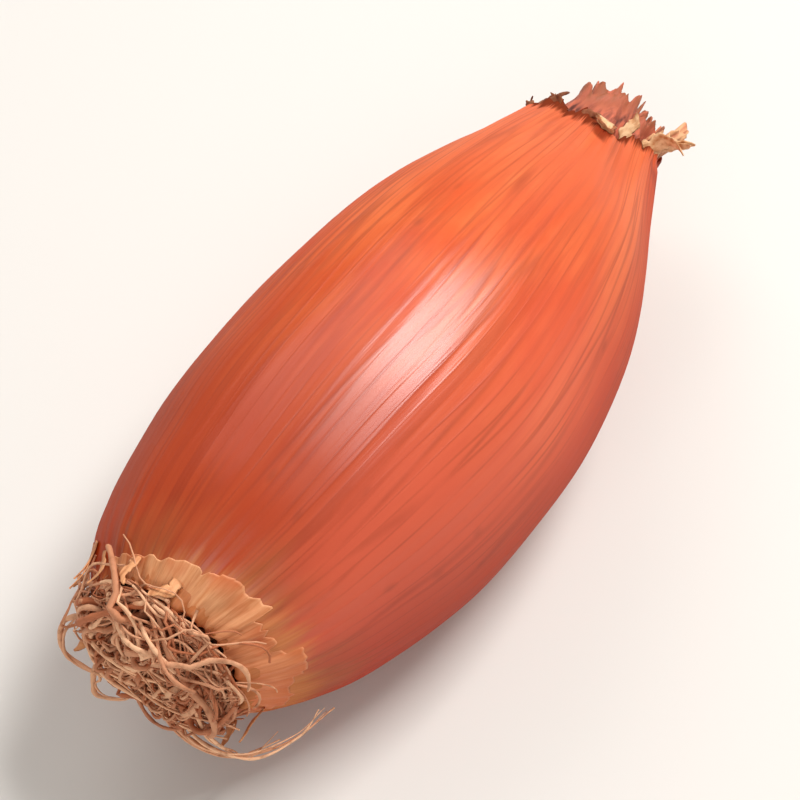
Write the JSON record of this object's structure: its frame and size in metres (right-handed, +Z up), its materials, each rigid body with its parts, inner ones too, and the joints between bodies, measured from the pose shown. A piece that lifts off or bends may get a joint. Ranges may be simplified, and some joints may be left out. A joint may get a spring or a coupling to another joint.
{
  "type": "shallot",
  "caption": "Long shallot lying on its side, in dry papery skin, with a flat tuft of dry roots at one end and a ragged cut neck at the other.",
  "frame": {"origin": "middle of the small flat spot on its belly that the bulb rests on, under its centre of weight", "axes": "+X along the bulb from the roots to the neck, +Z up from the surface that it lies on"},
  "size_m": [0.0917, 0.0383, 0.0378],
  "materials": {
    "dry_skin": "satin",
    "dry_root": "matte",
    "dried_scale": "matte"
  },
  "bodies": {
    "root": {"bulb": "dry_skin", "root_tuft": "dry_root", "neck_scales": "dried_scale"}
  },
  "joints": []
}
